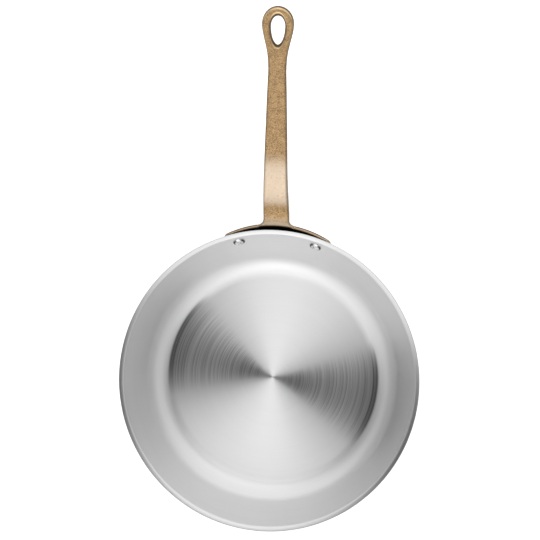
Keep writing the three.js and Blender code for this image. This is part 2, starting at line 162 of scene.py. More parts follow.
class Graph:
    """Adds nodes to a material's or a world's node tree."""

    def __init__(self, tree: bpy.types.NodeTree) -> None:
        """Empties the tree, so that only what is added here is in it."""
        self.tree = tree
        tree.nodes.clear()

    def node(
        self, kind: str, settings: dict[str, object], sockets: dict[str | int, object]
    ) -> bpy.types.Node:
        """Adds one node.

        Args:
            kind: Blender's name for the node's type.
            settings: The node's own properties, set before its sockets.
            sockets: A value, a colour, a Value or an output socket for each input, by name or number.

        Returns:
            The new node.
        """
        made = self.tree.nodes.new(kind)
        for name, setting in settings.items():
            setattr(made, name, setting)
        for name, given in sockets.items():
            self.feed(made.inputs[name], given)
        return made

    def feed(self, socket: Socket, given: object) -> None:
        """Links an input to what feeds it, or sets its value.

        Args:
            socket: The input.
            given: A value, a colour, a Value or an output socket.
        """
        if isinstance(given, Value):
            self.tree.links.new(given.socket, socket)
        elif isinstance(given, Socket):
            self.tree.links.new(given, socket)
        elif socket.type == "RGBA":
            socket.default_value = (*given, 1.0)
        else:
            socket.default_value = given

    def math(self, operation: str, first: Value | float, second: Value | float = 0.0) -> Value:
        """A Math node on two numbers."""
        node = self.node("ShaderNodeMath", {"operation": operation}, {0: first, 1: second})
        return Value(self, node.outputs[0])

    def split(self, vector: Socket) -> tuple[Value, Value, Value]:
        """The three numbers of a vector."""
        parts = self.node("ShaderNodeSeparateXYZ", {}, {0: vector})
        return tuple(Value(self, socket) for socket in parts.outputs)

    def axes(self, output: str) -> tuple[Value, Value, Value]:
        """Three coordinates of the point that is shaded, from one output of Texture Coordinate."""
        return self.split(self.node("ShaderNodeTexCoord", {}, {}).outputs[output])

    def stored(self, name: str, output: str) -> Socket:
        """What a mesh stores at its points under a name, from one output of Attribute."""
        return self.node("ShaderNodeAttribute", {"attribute_name": name}, {}).outputs[output]

    def ray(self, kind: str) -> Value:
        """1 for rays of one kind, by the name of Light Path's output, and 0 for others."""
        return Value(self, self.node("ShaderNodeLightPath", {}, {}).outputs[kind])

    def vector(self, x: Value | float, y: Value | float, z: Value | float) -> Socket:
        """Three numbers as a vector."""
        return self.node("ShaderNodeCombineXYZ", {}, {0: x, 1: y, 2: z}).outputs[0]

    def noise(self, place: Socket, scale: float = 1.0, detail: float = 2.0) -> Value:
        """Soft noise around 0.5.

        Args:
            place: The coordinates that it follows.
            scale: How many blots there are in one unit of the coordinates.
            detail: How many finer layers it has.

        Returns:
            The noise, from 0 to 1.
        """
        sockets = {"Vector": place, "Scale": scale, "Detail": detail}
        return Value(self, self.node("ShaderNodeTexNoise", {}, sockets).outputs[0])

    def blend(self, share: Value, first: Colour | Socket, second: Colour | Socket) -> Socket:
        """Colour between two colours.

        Args:
            share: 0 for the first colour, 1 for the second.
            first: A colour or a colour socket.
            second: A colour or a colour socket.

        Returns:
            The mixed colour.
        """
        node = self.node("ShaderNodeMix", {"data_type": "RGBA"}, {"Factor": share})
        colours = [socket for socket in node.inputs if socket.type == "RGBA"]
        self.feed(colours[0], first)
        self.feed(colours[1], second)
        return next(socket for socket in node.outputs if socket.type == "RGBA")

    def bump(self, height: Value, depth: float) -> Socket:
        """Normal of a surface with a relief, whose depth is in millimetres."""
        sockets = {"Strength": 1.0, "Distance": depth * MM, "Height": height}
        return self.node("ShaderNodeBump", {}, sockets).outputs[0]

    def shader(self, sockets: dict[str, object]) -> Socket:
        """A Principled shader."""
        return self.node("ShaderNodeBsdfPrincipled", {}, sockets).outputs[0]

    def mix(self, share: Value, first: Socket, second: Socket) -> Socket:
        """Shader between two shaders, the first where the share is 0."""
        return self.node("ShaderNodeMixShader", {}, {0: share, 1: first, 2: second}).outputs[0]

    def surface(self, shader: Socket) -> None:
        """Makes a shader the material's result."""
        self.node("ShaderNodeOutputMaterial", {}, {"Surface": shader})


def new_graph(name: str) -> tuple[bpy.types.Material, Graph]:
    """A new material.

    Args:
        name: The material's name.

    Returns:
        The material and the graph of its nodes.
    """
    material = bpy.data.materials.new(name)
    material.use_nodes = True
    return material, Graph(material.node_tree)


def grey(level: float) -> Colour:
    """A colour with three equal channels."""
    return (level, level, level)


def span(x: Value, y: Value) -> Value:
    """Length of two numbers at right angles."""
    return (x * x + y * y) ** 0.5


def heading(x: Value, y: Value, turn: float) -> Value:
    """How far a place lies along a compass direction, in degrees from +X."""
    way = math.radians(turn)
    return x * math.cos(way) + y * math.sin(way)


def ring_noise(graph: Graph, pitch: float, sweep: float) -> Value:
    """Noise that runs in rings round the pan's axis.

    Args:
        graph: Where the nodes are added.
        pitch: Distance from ring to ring, in millimetres.
        sweep: How soon a ring changes on its way round. Rings with 0 are the same all round.

    Returns:
        The noise, from 0 to 1.
    """
    x, y, z = graph.axes("Object")
    radius = span(x, y)
    turn_x = x / (radius + TINY) * sweep
    turn_y = y / (radius + TINY) * sweep
    return graph.noise(graph.vector((radius + z) / (pitch * MM), turn_x, turn_y))


@dataclass(frozen=True)
class TurnedSteel:
    """Steel finished on a turning machine, with scratches that run round the pan's axis."""

    tone: Colour
    roughness: float
    anisotropy: float
    pitch: float
    depth: float
    streaks: float
    gloss_streaks: float
    brushed_way: float = 0.25
    fine_sweep: float = 0.8
    fine_shade: float = 0.5
    fine_relief: float = 0.6
    long_pitch: float = 2.5
    long_sweep: float = 0.5
    long_shade: float = 0.35
    long_relief: float = 0.4
    cloud_scale: float = 18.0
    cloud_shade: float = 0.15
    shade_edges: Step = (0.3, 0.7)
    gloss_edges: Step = (0.36, 0.64)

    def shader(self, graph: Graph) -> Socket:
        """Shader with fine rings, longer streaks and faint clouds.

        Args:
            graph: Where the nodes are added.

        Returns:
            The shader.
        """
        fine = ring_noise(graph, self.pitch, self.fine_sweep)
        long = ring_noise(graph, self.pitch * self.long_pitch, self.long_sweep)
        clouds = graph.noise(graph.vector(*graph.axes("Object")), self.cloud_scale)
        shade = fine * self.fine_shade + long * self.long_shade + clouds * self.cloud_shade
        relief = fine * self.fine_relief + long * self.long_relief
        dark = tuple(channel * (1.0 - self.streaks) for channel in self.tone)
        light = tuple(min(1.0, channel * (1.0 + self.streaks)) for channel in self.tone)
        colour = graph.blend(shade.rise(*self.shade_edges), dark, light)
        gloss = relief.rise(*self.gloss_edges) - 0.5
        return graph.shader({
            "Base Color": self.painted_shade(graph, colour),
            "Metallic": 1.0,
            "Roughness": self.roughness + gloss * self.gloss_streaks,
            "Anisotropic": self.anisotropy,
            "Anisotropic Rotation": self.brushed_way,
            "Normal": graph.bump(relief, self.depth),
        })

    def painted_shade(self, graph: Graph, colour: Socket) -> Socket:
        """The colour as it is, with no painted shade."""
        return colour


@dataclass(frozen=True)
class SpunSteel(TurnedSteel):
    """Turned steel with fine grooves, and painted shade drawn as dark grooves and a deeper ring at the
    floor's edge, on the two sides where its reflection is dark.
    """

    painted_groove_shade: Colour = grey(0.02)
    groove_pitch: float = 0.8
    groove_sweep: float = 0.6
    groove_edges: Step = (0.36, 0.64)
    groove_share: float = 0.3
    painted_shade_ways: tuple[float, float] = (162.0, 352.0)
    painted_shade_spread: Step = (0.83, 0.98)
    middle: Step = (50.0, 24.0)
    edge: Step = (80.0, 92.0)
    deep_share: float = 0.22
    ring_in: Step = (94.5, 97.5)
    ring_out: Step = (101.5, 100.0)
    ring_share: float = 0.35

    def painted_shade(self, graph: Graph, colour: Socket) -> Socket:
        """Paints shade as dark grooves and a ring, on the two sides of the floor where its reflection is
        dark.

        Args:
            graph: Where the nodes are added.
            colour: The steel's colour.

        Returns:
            The colour with the painted shade.
        """
        x, y, _ = graph.axes("Object")
        distance = span(x, y)
        radius = distance / MM
        # painted shade: grooves, inner rings and the edge ring darken only the two sectors where the floor's
        # reflection is dark
        sides = [(heading(x, y, way) / (distance + MM)).rise(*self.painted_shade_spread) for way in self.painted_shade_ways]
        lines = ring_noise(graph, self.groove_pitch, self.groove_sweep).rise(*self.groove_edges)
        deep = radius.rise(*self.middle) + radius.rise(*self.edge)
        ring = radius.rise(*self.ring_in) * radius.rise(*self.ring_out)
        marks = lines * self.groove_share + deep * self.deep_share + ring * self.ring_share
        return graph.blend((sides[0] + sides[1]) * marks, colour, self.painted_groove_shade)


@dataclass(frozen=True)
class PanSteel:
    """The pan's steel: spun on the flat floor, satin up the wall, and brighter on the turned-out lip."""

    name: str = "pan_steel"
    spun: TurnedSteel = SpunSteel(
        tone=grey(0.89),
        roughness=0.325,
        anisotropy=0.99,
        pitch=1.6,
        depth=0.003,
        streaks=0.01,
        gloss_streaks=0.01,
    )
    satin: TurnedSteel = TurnedSteel(
        tone=grey(0.74),
        roughness=0.37,
        anisotropy=0.1,
        pitch=0.6,
        depth=0.001,
        streaks=0.02,
        gloss_streaks=0.03,
    )
    lip: TurnedSteel = TurnedSteel(
        tone=grey(0.685),
        roughness=0.29,
        anisotropy=0.6,
        pitch=0.5,
        depth=0.001,
        streaks=0.03,
        gloss_streaks=0.03,
    )
    spun_end: Step = (99.2, 103.0)
    lip_fade: float = 0.2

    def make(self, wall_end: float) -> bpy.types.Material:
        """Material whose finish follows the distance from the pan's axis.

        Args:
            wall_end: Radius at which the wall turns out into the lip, in millimetres.

        Returns:
            The material.
        """
        material, graph = new_graph(self.name)
        x, y, _ = graph.axes("Object")
        radius = span(x, y) / MM
        wall = graph.mix(radius.rise(*self.spun_end), self.spun.shader(graph), self.satin.shader(graph))
        on_lip = radius.rise(wall_end, wall_end + self.lip_fade)
        graph.surface(graph.mix(on_lip, wall, self.lip.shader(graph)))
        return material


@dataclass(frozen=True)
class PolishedSteel:
    """Bright steel of the rivets, hammered a little uneven, with painted shade in the dip round the crown and
    painted dark reflections on the crown.
    """

    name: str = "polished_steel"
    tone: Colour = grey(0.8)
    painted_dark: Colour = grey(0.03)
    roughness: float = 0.07
    dent_scale: float = 420.0
    dent_depth: float = 0.1
    mark_scale: float = 900.0
    mark_detail: float = 3.0
    mark_gloss: float = 0.06
    dip_in: Step = (0.58, 0.8)
    dip_out: Step = (1.0, 0.9)
    dip_sides: Step = (0.2, 0.55)
    dip_foot: Step = (-0.7, -0.1)
    spot_reach: Step = (0.6, 0.4)
    spot_edges: Step = (0.54, 0.6)
    spot_share: float = 0.8
    painted_dark_cover: float = 0.7
    painted_dark_gloss: float = 0.3

    def painted_dark_share(self, graph: Graph, marks: Value) -> Value:
        """Painted shade in the dip round the crown, on the head's sides and upper part, and painted dark
        reflections as spots on the crown.

        Args:
            graph: Where the nodes are added.
            marks: Noise that the spots follow.

        Returns:
            The share that is painted dark.
        """
        across, up, _ = graph.split(graph.stored(CROWN_PLACE, "Vector"))
        outward = span(across, up)
        # painted shade: dark crescents in the dip, only at the head's sides and upper part
        dip = outward.rise(*self.dip_in) * outward.rise(*self.dip_out)
        dip = dip * abs(across).rise(*self.dip_sides) * up.rise(*self.dip_foot)
        # painted dark reflections: spots on the crown
        spots = outward.rise(*self.spot_reach) * marks.rise(*self.spot_edges)
        return dip + spots * self.spot_share

    def make(self) -> bpy.types.Material:
        """Material with small dents and a slightly uneven gloss.

        Returns:
            The material.
        """
        material, graph = new_graph(self.name)
        place = graph.vector(*graph.axes("Object"))
        dents = graph.noise(place, self.dent_scale)
        marks = graph.noise(place, self.mark_scale, self.mark_detail)
        painted_dark_share = self.painted_dark_share(graph, marks)
        graph.surface(graph.shader({
            # painted shade and painted dark reflections, less metallic and rougher where painted
            "Base Color": graph.blend(painted_dark_share, self.tone, self.painted_dark),
            "Metallic": 1.0 - painted_dark_share * self.painted_dark_cover,
            "Roughness": self.roughness + marks * self.mark_gloss + painted_dark_share * self.painted_dark_gloss,
            "Normal": graph.bump(dents, self.dent_depth),
        }))
        return material


@dataclass(frozen=True)
class RolledAluminium:
    """Aluminium of the core, which shows only on the cut edge of the rim."""

    name: str = "rolled_aluminium"
    tone: Colour = (0.6, 0.6, 0.61)
    dulled: float = 0.85
    roughness: float = 0.42
    chatter_scale: float = 900.0
    chatter_rise: float = 6.0
    chatter_edges: Step = (0.3, 0.7)
    chatter_gloss: float = 0.1
    chatter_depth: float = 0.02

    def make(self) -> bpy.types.Material:
        """Material with the fine chatter of a trimmed edge.

        Returns:
            The material.
        """
        material, graph = new_graph(self.name)
        x, y, z = graph.axes("Object")
        chatter = graph.noise(graph.vector(x, y, z * self.chatter_rise), self.chatter_scale)
        dull = tuple(channel * self.dulled for channel in self.tone)
        graph.surface(graph.shader({
            "Base Color": graph.blend(chatter.rise(*self.chatter_edges), dull, self.tone),
            "Metallic": 1.0,
            "Roughness": self.roughness + (chatter - 0.5) * self.chatter_gloss,
            "Normal": graph.bump(chatter, self.chatter_depth),
        }))
        return material


@dataclass(frozen=True)
class CastBronze:
    """Bronze cast in sand: grainy, with dark specks, with painted highlights on its bend, root, bracket ridge
    and loop edges, and painted shade on steep faces, in the eye and in the gap behind the bracket.
    """

    name: str = "cast_bronze"
    tone: Colour = (0.23, 0.142, 0.064)
    pale: Colour = (0.543, 0.353, 0.167)
    speck: Colour = (0.12, 0.07, 0.028)
    highlight_tone: Colour = (0.57, 0.455, 0.335)
    edge_highlight_tone: Colour = (0.92, 0.67, 0.38)
    shadow: Colour = (0.03, 0.018, 0.009)
    eye_shade_tone: Colour = (0.12, 0.07, 0.025)
    gap_shadow: Colour = (0.012, 0.008, 0.005)
    roughness: float = 0.4
    grain: float = 0.8
    grain_depth: float = 0.06
    grain_detail: float = 3.0
    sand_shade: float = 0.7
    sand_relief: float = 0.7
    blot_scale: float = 0.16
    blot_shade: float = 0.3
    blot_relief: float = 0.6
    blot_gloss: float = 0.2
    skin_edges: Step = (0.36, 0.64)
    pit_scale: float = 0.6
    pit_detail: float = 1.0
    pit_edges: Step = (0.6, 0.72)
    pit_share: float = 0.55
    pit_through_highlight: float = 0.35
    pit_gloss: float = 0.1
    highlight_out: Step = (216.0, 189.0)
    highlight_in: Step = (157.2, 170.0)
    highlight_gloss: float = 0.1
    root_highlight: Step = (155.0, 149.0)
    root_share: float = 0.4
    ridge_in: Step = (0.3, 1.5)
    ridge_out: Step = (4.2, 2.8)
    ridge_share: float = 0.5
    lift: float = 0.9
    lift_ends: Step = (16.5, 13.5)
    gap_shadow_edges: Step = (0.7, -1.2)
    gap_shadow_turn: Step = (0.4, 0.1)
    steep_top: Step = (0.7, 0.5)
    steep_side: Step = (0.1, 0.3)
    loop_start: Step = (284.0, 292.0)
    edge_lean: Step = (0.03, 0.26)
    edge_facing: Step = (0.7, 0.86)
    edge_highlight_share: float = 0.95
    eye_depth: Step = (0.45, 1.05)
    coat: float = 0.4
    coat_roughness: float = 0.25
    coat_ior: float = 1.5

    def painted_highlight(self, out: Value, proud: Value) -> Value:
        """Where a highlight is painted on the casting: its bend, its root and the bracket's ridge.

        Args:
            out: Distance from the pan's axis along the handle, in millimetres.
            proud: Distance out from the bracket's bow, in millimetres.

        Returns:
            The share that gets the painted highlight, from 0 to 1.
        """
        bend = out.rise(*self.highlight_out) * out.rise(*self.highlight_in)
        root = out.rise(*self.root_highlight) * self.root_share
        ridge = proud.rise(*self.ridge_in) * proud.rise(*self.ridge_out)
        return (bend + root + ridge * self.ridge_share).rise(0.0, 1.0)

    def make(self, axis: float, bow: float, way: Vector) -> bpy.types.Material:
        """Material of the handle.

        Args:
            axis: Y of the bracket's upright axis, in millimetres.
            bow: Radius of the bracket's bow about that axis, inside which the gap gets painted shadow, in
                millimetres.
            way: Direction that the stem runs in.

        Returns:
            The material.
        """
        material, graph = new_graph(self.name)
        x, y, z = graph.axes("Object")
        aside, forth, up = graph.axes("Normal")
        place = graph.vector(x, y, z)
        sand = graph.noise(place, 1.0 / (self.grain * MM), self.grain_detail)
        blots = graph.noise(place, self.blot_scale / (self.grain * MM), self.grain_detail)
        pits = graph.noise(place, self.pit_scale / (self.grain * MM), self.pit_detail)
        pitted = pits.rise(*self.pit_edges)

        across = x / MM
        out = y / MM
        outward = out - axis
        radius = span(across, outward)
        proud = radius - bow
        away = (aside * across + forth * outward) / radius
        # painted shadow in the gap behind the bracket, on faces turned in towards the pan, reaching higher in
        # the middle under the stem
        lifted = proud - abs(across).rise(*self.lift_ends) * self.lift
        gap_shadowed = lifted.rise(*self.gap_shadow_edges) * away.rise(*self.gap_shadow_turn)
        painted_highlight = self.painted_highlight(out, proud)

        facing = up * way.y - forth * way.z
        along = forth * way.y + up * way.z
        # painted shade: steep faces take the dark shadow colour and lose their metal and coat
        steep = abs(facing).rise(*self.steep_top) * abs(facing).rise(*self.steep_side)
        # painted shade on the eye's walls below the loop's faces, which also lose their metal and coat
        eye_shade = Value(graph, graph.stored(EYE_DEPTH, "Fac")).rise(*self.eye_depth)
        # painted highlight on the rounded edges of the loop, where they tilt along the stem
        edges = abs(along).rise(*self.edge_lean) * out.rise(*self.loop_start)
        edges = edges * facing.rise(*self.edge_facing) * (1.0 - eye_shade)
        open_skin = (1.0 - steep) * (1.0 - eye_shade)

        skin = sand * self.sand_shade + blots * self.blot_shade
        colour = graph.blend(skin.rise(*self.skin_edges), self.tone, self.pale)
        # layers over the grain: the dark specks are the bronze's own; the rest are painted highlights and
        # painted shade
        layers = (
            (pitted * self.pit_share, self.speck),
            (painted_highlight * (1.0 - pitted * self.pit_through_highlight), self.highlight_tone),
            (edges * self.edge_highlight_share, self.edge_highlight_tone),
            (steep, self.shadow),
            (eye_shade, self.eye_shade_tone),
            (gap_shadowed, self.gap_shadow),
        )
        for share, tone in layers:
            colour = graph.blend(share, colour, tone)
        gloss = (blots - 0.5) * self.blot_gloss + pitted * self.pit_gloss - painted_highlight * self.highlight_gloss
        relief = sand * self.sand_relief + blots * self.blot_relief
        graph.surface(graph.shader({
            "Base Color": colour,
            "Metallic": open_skin,
            "Roughness": self.roughness + gloss,
            "Coat Weight": open_skin * (1.0 - gap_shadowed) * self.coat,
            "Coat Roughness": self.coat_roughness,
            "Coat IOR": self.coat_ior,
            "Normal": graph.bump(relief, self.grain_depth),
        }))
        return material


def spread(start: float, end: float, steps: int) -> list[float]:
    """Evenly spaced numbers from one to another, both included."""
    return [start + (end - start) * i / steps for i in range(steps + 1)]


def polar(centre: Point, radius: float, angle: float) -> Point:
    """Point at a distance from a centre, in the direction of an angle in radians."""
    return (centre[0] + radius * math.cos(angle), centre[1] + radius * math.sin(angle))


def arc(centre: Point, radius: float, start: float, end: float, steps: int) -> list[Point]:
    """Points on an arc between two angles in radians."""
    return [polar(centre, radius, angle) for angle in spread(start, end, steps)]


def bezier(points: Sequence[Vector], share: float) -> tuple[Vector, Vector]:
    """Point of a cubic curve and the direction it runs in there.

    Args:
        points: The curve's two ends, with its two handles between them.
        share: Where on the curve, from 0 to 1.

    Returns:
        The point and the direction, which has length 1.
    """
    first, second, third = (a.lerp(b, share) for a, b in zip(points, points[1:]))
    start = first.lerp(second, share)
    end = second.lerp(third, share)
    return start.lerp(end, share), (end - start).normalized()


def mesh_object(name: str, sheet: bmesh.types.BMesh) -> Piece:
    """A smooth shaded object of a mesh in millimetres.

    Args:
        name: The object's name.
        sheet: The mesh, which is freed.

    Returns:
        The object, in metres and in the scene.
    """
    bmesh.ops.recalc_face_normals(sheet, faces=sheet.faces)
    sheet.transform(Matrix.Scale(MM, 4))
    mesh = bpy.data.meshes.new(name)
    sheet.to_mesh(mesh)
    sheet.free()
    mesh.shade_smooth()
    made = bpy.data.objects.new(name, mesh)
    bpy.context.scene.collection.objects.link(made)
    return made


def lathe(name: str, profile: Sequence[Point], sides: int) -> Piece:
    """A closed body turned about the Z axis.

    Args:
        name: The object's name.
        profile: Radius and height of each point, in millimetres. Both ends are on the axis.
        sides: Number of faces round the axis.

    Returns:
        The object.
    """
    sheet = bmesh.new()
    turns = spread(0.0, 2.0 * math.pi, sides)[:-1]
    loops = []
    for radius, height in profile:
        if radius == 0.0:
            loops.append([sheet.verts.new((0.0, 0.0, height))])
        else:
            loops.append([sheet.verts.new((*polar((0.0, 0.0), radius, turn), height)) for turn in turns])
    for loop, following in zip(loops, loops[1:]):
        for i in range(sides):
            j = (i + 1) % sides
            corners = [loop[i % len(loop)], loop[j % len(loop)]]
            corners += [following[j % len(following)], following[i % len(following)]]
            sheet.faces.new(list(dict.fromkeys(corners)))
    return mesh_object(name, sheet)


def loft(name: str, rings: Sequence[Sequence[Vector]]) -> Piece:
    """A closed body through rings of points, all with the same count.

    Args:
        name: The object's name.
        rings: Points of each ring, in millimetres.

    Returns:
        The object.
    """
    sheet = bmesh.new()
    loops = [[sheet.verts.new(point) for point in ring] for ring in rings]
    for loop, following in zip(loops, loops[1:]):
        for i in range(len(loop)):
            j = (i + 1) % len(loop)
            sheet.faces.new((loop[i], loop[j], following[j], following[i]))
    sheet.faces.new(loops[0])
    sheet.faces.new(loops[-1])
    return mesh_object(name, sheet)


def freeze(piece: Piece) -> None:
    """Makes what a piece's modifiers show its own mesh.

    Args:
        piece: The piece, which is left without modifiers.
    """
    shown = piece.evaluated_get(bpy.context.evaluated_depsgraph_get())
    made = bpy.data.meshes.new_from_object(shown)
    before = piece.data
    piece.modifiers.clear()
    piece.data = made
    bpy.data.meshes.remove(before)


def trim(piece: Piece, other: Piece, keep: Cut) -> None:
    """Trims a closed piece with another, which is then removed.

    Args:
        piece: The piece that is trimmed.
        other: The closed piece that trims it.
        keep: Whether the part outside or inside the other is kept.
    """
    modifier = piece.modifiers.new("trim", "BOOLEAN")
    modifier.operation = keep.value
    modifier.solver = "EXACT"
    modifier.object = other
    freeze(piece)
    bpy.data.objects.remove(other)


def join(pieces: Sequence[Piece]) -> Piece:
    """Puts the meshes of several pieces into the first, and removes the others.

    Args:
        pieces: The pieces.

    Returns:
        The first piece.
    """
    sheet = bmesh.new()
    for piece in pieces:
        sheet.from_mesh(piece.data)
    sheet.to_mesh(pieces[0].data)
    sheet.free()
    for piece in pieces[1:]:
        bpy.data.objects.remove(piece)
    return pieces[0]


def keep_largest(piece: Piece) -> None:
    """Removes every closed shell of a piece but the one with the most faces.

    Args:
        piece: The piece.
    """
    sheet = bmesh.new()
    sheet.from_mesh(piece.data)
    left = set(sheet.faces)
    shells = []
    while left:
        shell = {left.pop()}
        front = list(shell)
        while front:
            face = front.pop()
            near = {other for edge in face.edges for other in edge.link_faces} & left
            left -= near
            shell |= near
            front.extend(near)
        shells.append(shell)
    shells.sort(key=len)
    stray = [face for shell in shells[:-1] for face in shell]
    bmesh.ops.delete(sheet, geom=stray, context="FACES")
    sheet.to_mesh(piece.data)
    sheet.free()


def hand_over(piece: Piece, node: str) -> None:
    """Puts a piece in the place of its CAD node and reports it.

    Args:
        piece: The piece.
        node: The CAD node that it stands for.
    """
    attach(piece, BODY)
    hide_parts(node)
    log.info("%s: %d faces, for %s", piece.name, len(piece.data.polygons), node)


@dataclass(frozen=True)
class Ply:
    """One bonded layer of the sheet."""

    node: str
    slot: str
    thickness: float


@dataclass
class Pan:
    """The pan: five plies turned to one section, with a flat floor, a rounded corner, a wall and a lip."""

    rim_diameter: float = 280.0
    floor_diameter: float = 188.0
    corner_radius: float = 29.9
    wall_slope: float = 60.0
    lip_slope: float = 18.0
    lip_bend_radius: float = 0.5
    lip_length: float = 2.4
    edge_rounding: float = 0.18
    bond_line: float = 0.02
    sides: int = 288
    corner_steps: int = 30
    bend_steps: int = 8
    edge_steps: int = 3
    plies: tuple[Ply, ...] = (
        Ply("inner_steel_ply", "cooking_steel", 0.4),
        Ply("upper_aluminium_ply", CORE_SLOT, 0.5),
        Ply("centre_aluminium_ply", CORE_SLOT, 0.8),
        Ply("lower_aluminium_ply", CORE_SLOT, 0.5),
        Ply("outer_steel_ply", "outer_steel", 0.4),
    )

    def __post_init__(self) -> None:
        """Works out the section's corners from the driving sizes."""
        self.sheet = sum(ply.thickness for ply in self.plies) + self.bond_line * (len(self.plies) - 1)
        self.wall = math.radians(self.wall_slope)
        self.lip = math.radians(self.lip_slope)
        self.corner_centre = (self.floor_diameter / 2, self.sheet + self.corner_radius)
        start = polar(self.corner_centre, self.corner_radius, self.wall - QUARTER)
        self.bend_radius = self.lip_bend_radius + self.sheet
        flat = self.lip_length * math.cos(self.lip) - self.lip_bend_radius * math.sin(self.lip)
        wall_radius = self.rim_diameter / 2 - flat - self.bend_radius * math.sin(self.wall)
        self.wall_end = (wall_radius, start[1] + (wall_radius - start[0]) * math.tan(self.wall))
        self.bend_centre = polar(self.wall_end, self.bend_radius, self.wall - QUARTER)
        self.rim_height = self.lip_edge(0.0, self.rim_diameter / 2)[1]

    def lip_edge(self, depth: float, radius: float) -> Point:
        """End of the lip on the line at a depth below the cooking face, trimmed upright at a radius."""
        start = polar(self.bend_centre, self.bend_radius - depth, self.lip + QUARTER)
        return (radius, start[1] + (radius - start[0]) * math.tan(self.lip))

    def line(self, depth: float) -> list[Point]:
        """Line through the sheet, without the lip's edge.

        Args:
            depth: Depth below the cooking face.

        Returns:
            Radius and height of its points, from the axis to the start of the lip.
        """
        corner_reach = self.corner_radius + depth
        bend_reach = self.bend_radius - depth
        corner = arc(self.corner_centre, corner_reach, -QUARTER, self.wall - QUARTER, self.corner_steps)
        bend = arc(self.bend_centre, bend_reach, self.wall + QUARTER, self.lip + QUARTER, self.bend_steps)
        return [(0.0, self.sheet - depth), *corner, *bend]

    def filled(self, clearance: float, above: float) -> Piece:
        """The pan's outside as a filled body, to trim what is fitted to it.

        Args:
            clearance: How far the body stands proud of the pan.
            above: How far it reaches above the rim.

        Returns:
            The body.
        """
        depth = self.sheet + clearance
        radius = self.rim_diameter / 2 + clearance
        top = self.rim_height + above
        outside = [*self.line(depth), self.lip_edge(depth, radius)]
        return lathe("pan_filled", [*outside, (radius, top), (0.0, top)], self.sides)

    def rounded_edge(self, ply: Ply, depth: float) -> list[Point]:
        """Rounded end of a ply at the lip.

        Args:
            ply: The ply.
            depth: Of its upper face below the cooking face.

        Returns:
            Radius and height of its points, from the lower face to the upper one.
        """
        radius = min(self.edge_rounding, ply.thickness / 2)
        inset = self.rim_diameter / 2 - radius
        rise = radius / math.cos(self.lip)
        low = self.lip_edge(depth + ply.thickness, inset)
        high = self.lip_edge(depth, inset)
        lower = arc((inset, low[1] + rise), radius, self.lip - QUARTER, 0.0, self.edge_steps)
        upper = arc((inset, high[1] - rise), radius, 0.0, self.lip + QUARTER, self.edge_steps)
        return [*lower, *upper]

    def build(self) -> dict[str, Piece]:
        """Turns each ply.

        Returns:
            The plies' bodies, by node.
        """
        bodies = {}
        depth = 0.0
        for ply in self.plies:
            under = self.line(depth + ply.thickness)
            over = self.line(depth)
            profile = [*under, *self.rounded_edge(ply, depth), *reversed(over)]
            bodies[ply.node] = lathe(ply.node + "_turned", profile, self.sides)
            depth += ply.thickness + self.bond_line
        return bodies

    def dress(self, bodies: dict[str, Piece]) -> None:
        """Gives each ply its finish and hands it over.

        Args:
            bodies: The plies' bodies, by node.
        """
        steel = PanSteel().make(self.wall_end[0])
        core = RolledAluminium().make()
        for ply in self.plies:
            body = bodies[ply.node]
            body.data.materials.append(core if ply.slot == CORE_SLOT else steel)
            hand_over(body, ply.node)


